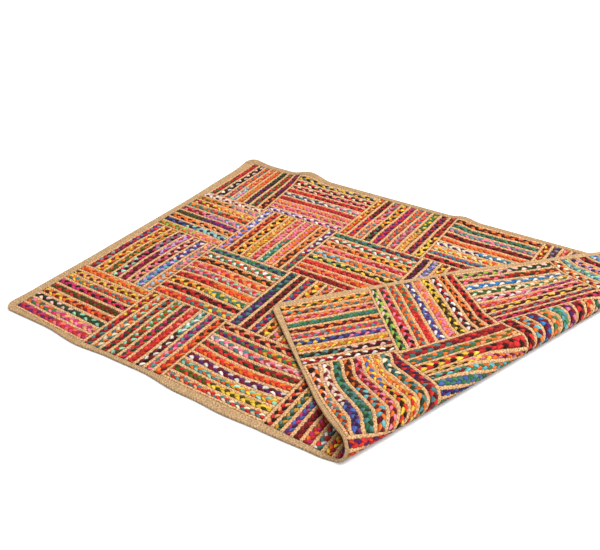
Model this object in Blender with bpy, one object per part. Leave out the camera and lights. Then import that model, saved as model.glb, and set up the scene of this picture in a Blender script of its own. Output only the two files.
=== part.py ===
"""Rag rug of sewn plaits, lying on a floor with its right-hand end folded back over the middle.

The rug is drawn flat first, as a rectangle: u runs along its length from the left end, v across its
width from the near edge, and w up through its thickness from the middle. lay() then puts each flat
point where it lies: flat or in a ripple on the floor, in the roll where the rug turns over, or in the
flap that rests on the part below. Panels and border all go through lay(), so they stay in
step. Sizes are in metres.
"""

import math

import bpy
from mathutils import Vector

# Flat rug
RUG_LENGTH = 1.80
RUG_WIDTH = 1.20
CORNER_RADIUS = 0.035
SEAM_GAP = 0.0008

# Plaits
PLAIT_THICKNESS = 0.008
GROOVE_THICKNESS = 0.005
SEAM_THICKNESS = 0.0024
OUTER_EDGE_THICKNESS = 0.0044
USUAL_STRIPS = 9
RAG_SHARE = 0.64

# Panels with another number of strips: column and row as in the panel's name, strips
OTHER_STRIP_COUNTS = (
    (1, 2, 8),
    (1, 4, 8),
    (3, 4, 10),
    (4, 1, 10),
    (6, 1, 10),
    (6, 2, 10),
)

# Where the panels meet, along the length and across the width
COLUMN_EDGES = (0.028, 0.304, 0.590, 0.900, 1.194, 1.490, 1.775)
ROW_EDGES = (0.018, 0.292, 0.598, 0.890, 1.172)

# Panel corners that lie out of line: column edge, row edge, shift along u, shift along v
CORNER_SHIFTS = (
    (0, 0, -0.006, 0.000),
    (0, 2, 0.002, 0.014),
    (0, 3, 0.004, 0.000),
    (1, 0, 0.006, -0.010),
    (1, 3, -0.012, 0.000),
    (1, 4, -0.044, 0.000),
    (2, 0, 0.004, 0.000),
    (2, 4, 0.000, 0.005),
    (3, 0, 0.003, 0.002),
    (3, 4, 0.000, 0.006),
    (4, 0, 0.000, -0.003),
    (4, 4, 0.000, 0.010),
    (5, 0, 0.015, -0.010),
    (5, 1, 0.000, -0.032),
    (5, 2, 0.006, -0.036),
    (5, 3, -0.006, -0.005),
    (5, 4, -0.020, 0.006),
    (6, 0, 0.008, 0.004),
    (6, 1, 0.004, 0.000),
    (6, 2, 0.004, -0.027),
    (6, 3, -0.024, -0.010),
    (6, 4, -0.056, 0.000),
)

# How far the outer edge lies off a straight line: distance along the side, shift outwards
NEAR_OUTLINE = (
    (0.00, 0.000),
    (0.17, -0.002),
    (0.30, 0.009),
    (0.42, 0.000),
    (0.54, -0.003),
    (0.66, 0.007),
    (0.72, 0.006),
    (0.80, 0.009),
    (0.92, 0.003),
    (1.07, -0.003),
    (1.13, -0.011),
    (1.19, -0.008),
    (1.30, 0.000),
)
FAR_OUTLINE = (
    (0.00, 0.010),
    (0.13, 0.000),
)
LEFT_OUTLINE = (
    (0.00, 0.010),
    (0.12, 0.004),
    (0.35, -0.002),
    (0.80, -0.006),
    (1.06, 0.000),
    (1.20, 0.009),
)
RIGHT_OUTLINE = (
    (0.00, 0.000),
    (0.60, -0.003),
    (0.84, -0.026),
    (0.94, -0.030),
    (1.20, -0.058),
)

# The fold: its line leans from the width's direction towards the right end
FOLD_ANGLE = math.radians(19.8)
ROLL_CENTRE = 1.037
ROLL_RADIUS = 0.0275
ROLL_DIP = math.radians(16.0)
SETTLE_RADIUS = 0.10
FLAP_CLEARANCE = 0.002

# The flap's far corner hangs past the long edge below and sinks to the floor
SAG_START = 0.006
SAG_RUN = 0.10

# Ripples in the part on the floor: centre along u and v, half-length along u and v, height
RIPPLES = (
    (0.000, 1.21, 0.100, 0.100, 0.006),
    (0.288, 1.20, 0.092, 0.110, 0.020),
    (0.915, 1.20, 0.060, 0.240, 0.009),
)

# Mesh fineness: how far a straight facet may leave the curve, the most halvings, and where along a
# stretch the curve is looked at
FACET_ERROR = 0.0016
MOST_HALVINGS = 5
INNER_QUARTERS = (0.25, 0.5, 0.75)

RAG_TINTS = (
    (0.62, 0.13, 0.10),
    (0.80, 0.36, 0.10),
    (0.20, 0.30, 0.24),
    (0.70, 0.20, 0.26),
    (0.78, 0.55, 0.14),
    (0.34, 0.10, 0.16),
)
JUTE_TINT = (0.60, 0.43, 0.24)
FABRIC_ROUGHNESS = 0.9

HALF = PLAIT_THICKNESS / 2


# ---------------------------------------------------------------- where a flat point lies

def smooth_step(x):
    """0 below 0, 1 above 1, and a soft curve between."""
    x = min(max(x, 0.0), 1.0)
    return x * x * (3 - 2 * x)


def along_table(table, x):
    """The second column of a two-column table at x, with soft curves between its rows."""
    if x <= table[0][0]:
        return table[0][1]
    for (x0, y0), (x1, y1) in zip(table, table[1:]):
        if x <= x1:
            return y0 + (y1 - y0) * smooth_step((x - x0) / (x1 - x0))
    return table[-1][1]


def soft_hump(x, half_length):
    """1 in the middle, 0 at half_length to each side, level at both."""
    if abs(x) >= half_length:
        return 0.0
    return math.cos(math.pi / 2 * x / half_length) ** 2


def ripple_height(u, v):
    """How far the rug stands off the floor at a flat point."""
    return sum(height * soft_hump(u - mid_u, half_u) * soft_hump(v - mid_v, half_v)
               for mid_u, mid_v, half_u, half_v, height in RIPPLES)


def roll_section(distance):
    """Position across the fold, height and heading, at a distance across it along the cloth.

    The section is flat, then an arc that turns a little past half a turn, a straight descent and a
    shallow arc that brings the flap level, just above the part below.
    """
    turn = math.pi + ROLL_DIP
    if distance <= ROLL_CENTRE:
        return distance, 0.0, 0.0
    arc = ROLL_RADIUS * turn
    distance -= ROLL_CENTRE
    if distance <= arc:
        angle = distance / ROLL_RADIUS
        return (ROLL_CENTRE + ROLL_RADIUS * math.sin(angle),
                ROLL_RADIUS * (1 - math.cos(angle)), angle)
    across = ROLL_CENTRE + ROLL_RADIUS * math.sin(turn)
    height = ROLL_RADIUS * (1 - math.cos(turn))
    distance -= arc
    flap_height = PLAIT_THICKNESS + FLAP_CLEARANCE
    drop = height - flap_height - SETTLE_RADIUS * (1 - math.cos(ROLL_DIP))
    descent = drop / math.sin(ROLL_DIP)
    if distance <= descent:
        return across - distance * math.cos(ROLL_DIP), height - distance * math.sin(ROLL_DIP), turn
    across -= descent * math.cos(ROLL_DIP)
    height -= drop
    distance -= descent
    if distance <= SETTLE_RADIUS * ROLL_DIP:
        angle = ROLL_DIP - distance / SETTLE_RADIUS
        across -= SETTLE_RADIUS * (math.sin(ROLL_DIP) - math.sin(angle))
        return (across, flap_height + SETTLE_RADIUS * (1 - math.cos(angle)), math.pi + angle)
    across -= SETTLE_RADIUS * math.sin(ROLL_DIP) + distance - SETTLE_RADIUS * ROLL_DIP
    return across, flap_height, math.pi


def lay(u, v, w):
    """World position of the flat point u, v at height w through the thickness."""
    lean_cos, lean_sin = math.cos(FOLD_ANGLE), math.sin(FOLD_ANGLE)
    lift = ripple_height(u, v)
    across_fold = u * lean_cos - v * lean_sin
    along_fold = u * lean_sin + v * lean_cos
    across, height, heading = roll_section(across_fold)
    across -= w * math.sin(heading)
    height += w * math.cos(heading)
    x = across * lean_cos + along_fold * lean_sin
    y = along_fold * lean_cos - across * lean_sin
    if across_fold > ROLL_CENTRE:
        overhang = (y - RUG_WIDTH - SAG_START) / SAG_RUN
        height -= (PLAIT_THICKNESS + FLAP_CLEARANCE) * smooth_step(overhang)
    return Vector((x, y, HALF + height + lift))


def outer_point(side, distance):
    """Flat position on the outer edge, at a distance along one of the four sides."""
    if side == "near":
        return Vector((distance, -along_table(NEAR_OUTLINE, distance)))
    if side == "far":
        return Vector((distance, RUG_WIDTH + along_table(FAR_OUTLINE, distance)))
    if side == "left":
        return Vector((-along_table(LEFT_OUTLINE, distance), distance))
    return Vector((RUG_LENGTH + along_table(RIGHT_OUTLINE, distance), distance))


# ---------------------------------------------------------------- meshes

def make_material(name, colour):
    material = bpy.data.materials.new(name)
    material.use_nodes = True
    shader = material.node_tree.nodes["Principled BSDF"]
    shader.inputs["Base Color"].default_value = (*colour, 1.0)
    shader.inputs["Roughness"].default_value = FABRIC_ROUGHNESS
    return material


def make_object(name, points, faces, colour):
    mesh = bpy.data.meshes.new(name)
    mesh.from_pydata(points, [], faces)
    mesh.materials.append(make_material(name, colour))
    mesh.validate()
    thing = bpy.data.objects.new(name, mesh)
    bpy.context.scene.collection.objects.link(thing)
    return thing


def curve_stations(position, first, last, halvings=MOST_HALVINGS):
    """Stations from first to last, close enough together for straight facets between them.

    position gives the lines that the facets must follow, as a list of points at a station.
    """
    stations = [first]
    add_stations(position, first, last, halvings, stations)
    return stations


def add_stations(position, start, end, halvings, stations):
    ends = list(zip(position(start), position(end)))
    error = 0.0
    for fraction in INNER_QUARTERS:
        here = position(start + (end - start) * fraction)
        error = max([error] + [(p - p0.lerp(p1, fraction)).length
                               for p, (p0, p1) in zip(here, ends)])
    if error > FACET_ERROR and halvings > 0:
        middle = (start + end) / 2
        add_stations(position, start, middle, halvings - 1, stations)
        add_stations(position, middle, end, halvings - 1, stations)
    else:
        stations.append(end)


def panel_corner(column, row):
    """Flat position of the corner where two column edges and row edges cross."""
    u, v = COLUMN_EDGES[column], ROW_EDGES[row]
    for shifted_column, shifted_row, shift_u, shift_v in CORNER_SHIFTS:
        if (column, row) == (shifted_column, shifted_row):
            u, v = u + shift_u, v + shift_v
    return Vector((u, v))


def panel_patch(column, row):
    """A function from along and across the strips, each 0 to 1, to the flat panel's u and v."""
    near_left, near_right = panel_corner(column, row), panel_corner(column + 1, row)
    far_left, far_right = panel_corner(column, row + 1), panel_corner(column + 1, row + 1)
    strips_run_along_length = (column + row) % 2 == 0
    inset_u = SEAM_GAP / 2 / (near_right - near_left).length
    inset_v = SEAM_GAP / 2 / (far_left - near_left).length

    def flat(along, across):
        a, b = (along, across) if strips_run_along_length else (across, along)
        a = inset_u + a * (1 - 2 * inset_u)
        b = inset_v + b * (1 - 2 * inset_v)
        return near_left.lerp(near_right, a).lerp(far_left.lerp(far_right, a), b)

    return flat


def strips_in(column, row):
    """How many rag plaits lie side by side in a panel."""
    for named_column, named_row, count in OTHER_STRIP_COUNTS:
        if (column + 1, row + 1) == (named_column, named_row):
            return count
    return USUAL_STRIPS


def bends_within_a_strip(flat, strips):
    """Whether any strip curves so much across its own width that it needs a middle line."""
    for strip in range(strips):
        for along in (0.0, *INNER_QUARTERS, 1.0):
            start, middle, end = (lay(*flat(along, (strip + part) / strips), 0.0)
                                  for part in (0.0, 0.5, 1.0))
            if (middle - (start + end) / 2).length > FACET_ERROR:
                return True
    return False


def strip_profile(strips, with_middle):
    """Stations across a panel and the half-thickness at each: rag plaits and the grooves between.

    The panel thins to a seam at its two sides.
    """
    margin = (1 - RAG_SHARE) / 2
    profile = [(0.0, SEAM_THICKNESS / 2)]
    for strip in range(strips):
        tops = [margin, 0.5, 1 - margin] if with_middle else [margin, 1 - margin]
        profile += [((strip + top) / strips, HALF) for top in tops]
        profile.append(((strip + 1) / strips, GROOVE_THICKNESS / 2))
    profile[-1] = (1.0, SEAM_THICKNESS / 2)
    return profile


def make_panel(column, row, centre):
    """A panel of plaits: a slab with a raised rib on both faces for each rag plait."""
    flat = panel_patch(column, row)

    def side_points(along):
        return [lay(*flat(along, across), w) for across in (0.0, *INNER_QUARTERS, 1.0)
                for w in (-HALF, HALF)]

    stations = curve_stations(side_points, 0.0, 1.0)
    strips = strips_in(column, row)
    profile = strip_profile(strips, bends_within_a_strip(flat, strips))
    count = len(profile)
    points = []
    for along in stations:
        for sign in (1, -1):
            points += [lay(*flat(along, across), sign * half) - centre for across, half in profile]
    faces = loft_faces(len(stations), count, closed=False)
    strips_run_across_width = (column + row) % 2 == 1
    if strips_run_across_width:
        faces = [face[::-1] for face in faces]
    tint = RAG_TINTS[(column * 2 + row * 5) % len(RAG_TINTS)]
    return make_object(f"panel_{column + 1}_{row + 1}", points, faces, tint)


def loft_faces(sections, count, closed):
    """Faces over sections that each hold count points of the top and count of the underside."""
    faces = []
    size = 2 * count
    last = sections if closed else sections - 1
    for section in range(last):
        here = section * size
        there = (section + 1) % sections * size
        for k in range(count - 1):
            faces.append((here + k, there + k, there + k + 1, here + k + 1))
            below, beyond = here + count + k, there + count + k
            faces.append((below, below + 1, beyond + 1, beyond))
        faces.append((here, here + count, there + count, there))
        end = count - 1
        faces.append((here + end, there + end, there + count + end, here + count + end))
    if not closed:
        for k in range(count - 1):
            faces.append((k, k + 1, count + k + 1, count + k))
            start = (sections - 1) * size
            faces.append((start + k, start + count + k, start + count + k + 1, start + k + 1))
    return faces


# ---------------------------------------------------------------- border

def border_section():
    """Stations from the outer edge to the inner one, with the half-thickness at each."""
    return ((0.0, OUTER_EDGE_THICKNESS / 2), (0.16, HALF), (0.50, GROOVE_THICKNESS / 2),
            (0.84, HALF), (1.0, SEAM_THICKNESS / 2))


def border_sides():
    """Each side of the border in order round the rug: its name, way and inner corners in order."""
    columns, rows = len(COLUMN_EDGES) - 1, len(ROW_EDGES) - 1
    return (
        ("near", 0, [panel_corner(k, 0) for k in range(columns + 1)]),
        ("right", 1, [panel_corner(columns, k) for k in range(rows + 1)]),
        ("far", 0, [panel_corner(k, rows) for k in range(columns, -1, -1)]),
        ("left", 1, [panel_corner(0, k) for k in range(rows, -1, -1)]),
    )


def border_lines():
    """Lines across the border, outer end and inner end, in order round the rug."""
    middle = Vector((RUG_LENGTH / 2, RUG_WIDTH / 2))
    sides = border_sides()
    names = [side for side, way, corners in sides]
    lines = []
    for number, (side, way, corners) in enumerate(sides):
        outward = -1 if corners[0][1 - way] < middle[1 - way] else 1
        side_before, side_after = names[number - 1], names[(number + 1) % len(sides)]

        def line_at(fraction, start, end):
            inner = start.lerp(end, fraction)
            outer = outer_point(side, inner[way])
            inner[1 - way] += outward * SEAM_GAP / 2
            return outer, inner

        for index, (start, end) in enumerate(zip(corners, corners[1:])):
            heading = (end - start).normalized()
            first_panel, last_panel = index == 0, index == len(corners) - 2
            run_start, run_end = start, end
            if first_panel:
                run_start = start + heading * straight_reach(start, side_before, way)
            if last_panel:
                run_end = end - heading * straight_reach(end, side_after, way)

            def run_points(fraction):
                return [lay(*point, w) for point in line_at(fraction, run_start, run_end)
                        for w in (-HALF, HALF)]

            stations = curve_stations(run_points, 0.0, 1.0)
            stations = stations if last_panel else stations[:-1]
            lines += [line_at(fraction, run_start, run_end) for fraction in stations]
        lines += corner_lines(lines[-1], corners[-1], heading, side, side_after, way)
    return lines


def straight_reach(inner_corner, next_side, way):
    """How far from an inner corner, along a side, the outer edge starts to turn to the next side."""
    edge = outer_point(next_side, inner_corner[1 - way])
    return max(CORNER_RADIUS - abs(edge[way] - inner_corner[way]), 0.0)


def corner_lines(last_line, inner_corner, heading, side, side_after, way):
    """Lines that turn a rounded outer corner, fanned from the square inner corner."""
    start = last_line[0]
    turned = Vector((-heading.y, heading.x))
    before = straight_reach(inner_corner, side_after, way)
    after = straight_reach(inner_corner, side, 1 - way)
    lines = []
    for part in INNER_QUARTERS:
        angle = math.pi / 2 * part
        outer = start + heading * CORNER_RADIUS * math.sin(angle)
        outer += turned * CORNER_RADIUS * (1 - math.cos(angle))
        along, beside = min(2 * part, 1.0), max(2 * part - 1, 0.0)
        inner = inner_corner - heading * before * (1 - along) + turned * after * beside
        inner += (heading * along - turned * (1 - beside)) * SEAM_GAP / 2
        lines.append((outer, inner))
    return lines


def border_points(lines):
    """The border's points where they lie: for each line across, the top and then the underside."""
    return [lay(*outer.lerp(inner, part), sign * half) for outer, inner in lines
            for sign in (1, -1) for part, half in border_section()]


def middle_in_plan(points):
    """Middle of the points' box, at floor level."""
    return Vector(((min(p.x for p in points) + max(p.x for p in points)) / 2,
                   (min(p.y for p in points) + max(p.y for p in points)) / 2, 0.0))


def make_border(lines, centre):
    points = [point - centre for point in border_points(lines)]
    faces = loft_faces(len(lines), len(border_section()), closed=True)
    return make_object("border", points, faces, JUTE_TINT)


# ---------------------------------------------------------------- the rug

def main():
    for thing in list(bpy.data.objects):
        bpy.data.objects.remove(thing, do_unlink=True)
    lines = border_lines()
    centre = middle_in_plan(border_points(lines))
    for column in range(len(COLUMN_EDGES) - 1):
        for row in range(len(ROW_EDGES) - 1):
            make_panel(column, row, centre)
    make_border(lines, centre)


main()
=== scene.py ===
"""Looks of the rag rug: rag plaits, the jute sewn in between them and the jute border.

The rug is drawn flat first: u runs along its length from the left end, v across its width from the
near edge, and w up through its thickness from the middle. lay() then puts each flat point where it
lies, on the same folds as the solids. Sizes are in metres.
"""

import math

import bpy
import numpy as np
from mathutils import Matrix, Vector


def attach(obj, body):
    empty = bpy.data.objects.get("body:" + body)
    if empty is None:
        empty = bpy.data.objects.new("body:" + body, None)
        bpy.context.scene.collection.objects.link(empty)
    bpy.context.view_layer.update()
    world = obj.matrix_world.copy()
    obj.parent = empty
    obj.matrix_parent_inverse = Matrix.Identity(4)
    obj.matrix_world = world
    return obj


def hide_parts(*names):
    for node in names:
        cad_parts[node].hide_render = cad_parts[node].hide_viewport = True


# ---------------------------------------------------------------- the rug's sizes, as in the solids

RUG_LENGTH = 1.80
RUG_WIDTH = 1.20
CORNER_RADIUS = 0.035
THICKNESS = 0.008
HALF = THICKNESS / 2
ORIGIN = (0.7792, 0.6386, 0.0)  # the frame's origin, measured from the rug's own near left corner
FLOOR_GAP = 0.0001  # how far strands stay above the floor

COLUMN_EDGES = (0.028, 0.304, 0.590, 0.900, 1.194, 1.490, 1.775)
ROW_EDGES = (0.018, 0.292, 0.598, 0.890, 1.172)

# Panel corners that lie out of line: column edge, row edge, shift along u, shift along v. Those on
# the right edge are up to 9 mm further out than in the solids, because the border is narrow there.
CORNER_SHIFTS = (
    (0, 0, -0.006, 0.000),
    (0, 2, 0.002, 0.014),
    (0, 3, 0.004, 0.000),
    (1, 0, 0.006, -0.010),
    (1, 3, -0.012, 0.000),
    (1, 4, -0.044, 0.000),
    (2, 0, 0.004, 0.000),
    (2, 4, 0.000, 0.005),
    (3, 0, 0.003, 0.002),
    (3, 4, 0.000, 0.006),
    (4, 0, 0.000, -0.003),
    (4, 4, 0.000, 0.010),
    (5, 0, 0.015, -0.010),
    (5, 1, 0.000, -0.032),
    (5, 2, 0.006, -0.036),
    (5, 3, -0.006, -0.005),
    (5, 4, -0.020, 0.006),
    (6, 0, 0.008, 0.004),
    (6, 1, 0.006, 0.000),
    (6, 2, 0.009, -0.027),
    (6, 3, -0.017, -0.010),
    (6, 4, -0.047, 0.000),
)

# How far the outer edge lies off a straight line: distance along the side, shift outwards
NEAR_OUTLINE = (
    (0.00, 0.000),
    (0.17, -0.002),
    (0.30, 0.009),
    (0.42, 0.000),
    (0.54, -0.003),
    (0.66, 0.007),
    (0.72, 0.006),
    (0.80, 0.009),
    (0.92, 0.003),
    (1.07, -0.003),
    (1.13, -0.011),
    (1.19, -0.008),
    (1.30, 0.000),
)
FAR_OUTLINE = (
    (0.00, 0.010),
    (0.13, 0.000),
)
LEFT_OUTLINE = (
    (0.00, 0.010),
    (0.12, 0.004),
    (0.35, -0.002),
    (0.80, -0.006),
    (1.06, 0.000),
    (1.20, 0.009),
)
RIGHT_OUTLINE = (
    (0.00, 0.000),
    (0.60, -0.003),
    (0.84, -0.026),
    (0.94, -0.030),
    (1.20, -0.058),
)

# The fold, its roll and the sag of the flap's far corner
FOLD_ANGLE = math.radians(19.8)
ROLL_CENTRE = 1.037
ROLL_RADIUS = 0.0275
ROLL_DIP = math.radians(16.0)
SETTLE_RADIUS = 0.10
FLAP_CLEARANCE = 0.002
SAG_START = 0.006
SAG_RUN = 0.10

# Ripples in the part on the floor: centre along u and v, half-length along u and v, height
RIPPLES = (
    (0.000, 1.21, 0.100, 0.100, 0.006),
    (0.288, 1.20, 0.092, 0.110, 0.020),
    (0.915, 1.20, 0.060, 0.240, 0.009),
)

# ---------------------------------------------------------------- sizes of plaits and jute

SIDE_BAND = 0.0035  # extra jute along both sides of a panel
PLAIT_PERIOD = 0.048  # along the plait, until a strand is back on the same side
STATIONS_PER_PERIOD = 12
STRAND_SIDES = 6
STRAND_LIFT = 0.0021  # how far a strand rises and sinks from the middle
STRAND_HALF_THICKNESS = 0.0025
STRAND_FLATNESS = 0.45
STRAND_SHARE = 0.50  # half-width of a strand, of the plait's half-width
STRAND_SPREAD = (0.82, 1.16)  # how unequal strands are in width
PERIOD_SPREAD = (0.92, 1.14)  # how unequal plaits are in period
FILL_SPREAD = (0.90, 1.04)  # how much of their strips they fill
# How much these waver along a plait, as a share, and with a random value every so many metres
FILL_WAVE = (0.09, 0.030)
BREADTH_WAVE = (0.22, 0.011)
DEPTH_WAVE = (0.12, 0.007)
BRIGHTNESS_WAVE = (0.08, 0.020)
RAG_REACH = 0.0030  # from the middle of the jute to the side of the plait next to it
PROUD = 0.0006  # how far strands may stand out of the solid
END_RUN = 0.008  # over which a plait narrows to its sewn-down end
END_SHARE = 0.80
END_INSET = 0.0015
STRIP_SPREAD = 0.06  # how unequal the strips of a panel are in width
STRIP_WAVE = 0.0017  # how far the jute between two plaits wanders
WAVE_REACH = 0.060
JUTE_PITCH = 0.0085  # of the jute plait's strands, as seen on one side
JUTE_TOP = 0.0038
JUTE_SHOULDER = 0.0029
JUTE_SHOULDER_REACH = 0.0033
JUTE_FOOT_REACH = 0.0058
EDGE_PLACE = 0.3  # place across the jute plait at a panel's side
GROUND_HALF = 0.0010
GROUND_STEP = 0.008
BORDER_STEP = 0.005
BORDER_PITCH = 0.009
# Painted light and shade on the border's jute: where it starts to be paler along the rug and
# darker across it, and over what run
BORDER_PAINTED_LIGHT_START, BORDER_PAINTED_LIGHT_RUN, BORDER_PAINTED_LIGHT_SHARE = 1.20, 0.20, 0.07
BORDER_PAINTED_SHADE_START, BORDER_PAINTED_SHADE_RUN, BORDER_PAINTED_SHADE_SHARE = 1.15, 0.02, 0.12

# Panels whose plaits bend near an end: column and row, shift across at the start and at the end
BENDS = {
    (5, 1): (-0.019, 0.015),
}
BEND_REACH = 0.070

# How plaits sway in the middle of a panel: column and row, in one bow, in an S
SWAYS = {
    (1, 2): (-0.009, 0.000),
    (2, 2): (0.008, 0.003),
    (3, 1): (-0.013, 0.000),
}
USUAL_SWAY = 0.002

# Panels with some plaits much wider than others: column and row, share of the usual width of each
WIDTHS = {
    (5, 1): (1.0, 1.0, 1.0, 1.0, 1.05, 0.9, 0.85, 1.0, 1.2),
    (5, 2): (0.9, 0.9, 0.68, 0.86, 0.86, 0.68, 1.44, 1.26, 1.44),
}

# ---------------------------------------------------------------- colours

# Cloth colours by name, as red, green and blue on a screen
CLOTH = {
    "red": (0.80, 0.19, 0.18),
    "scarlet": (0.91, 0.26, 0.17),
    "orange": (0.94, 0.45, 0.17),
    "peach": (0.94, 0.62, 0.40),
    "salmon": (0.93, 0.42, 0.36),
    "yellow": (0.95, 0.77, 0.25),
    "ochre": (0.83, 0.60, 0.20),
    "olive": (0.34, 0.28, 0.10),
    "bottle": (0.20, 0.28, 0.18),
    "green": (0.26, 0.48, 0.31),
    "leaf": (0.36, 0.45, 0.14),
    "lime": (0.62, 0.74, 0.28),
    "mint": (0.60, 0.82, 0.68),
    "teal": (0.32, 0.50, 0.48),
    "cyan": (0.40, 0.69, 0.71),
    "sky": (0.60, 0.76, 0.84),
    "azure": (0.22, 0.48, 0.70),
    "blue": (0.30, 0.38, 0.64),
    "navy": (0.23, 0.18, 0.32),
    "purple": (0.38, 0.17, 0.40),
    "lilac": (0.78, 0.61, 0.82),
    "magenta": (0.79, 0.20, 0.40),
    "pink": (0.93, 0.48, 0.58),
    "blush": (0.95, 0.77, 0.73),
    "maroon": (0.46, 0.11, 0.14),
    "brick": (0.60, 0.15, 0.12),
    "brown": (0.34, 0.16, 0.09),
    "black": (0.21, 0.11, 0.08),
    "grey": (0.50, 0.52, 0.54),
    "white": (0.92, 0.88, 0.84),
    "cream": (0.93, 0.85, 0.70),
}
# Jute colours: pale fibres, middling ones, and a dark one for painted shade between strands and
# for the jute's darker edges beside the plaits
SEAM_JUTE = (0.90, 0.72, 0.52), (0.70, 0.52, 0.36), (0.31, 0.20, 0.12)
BORDER_JUTE = (0.76, 0.635, 0.47), (0.615, 0.485, 0.35), (0.31, 0.22, 0.13)

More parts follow.
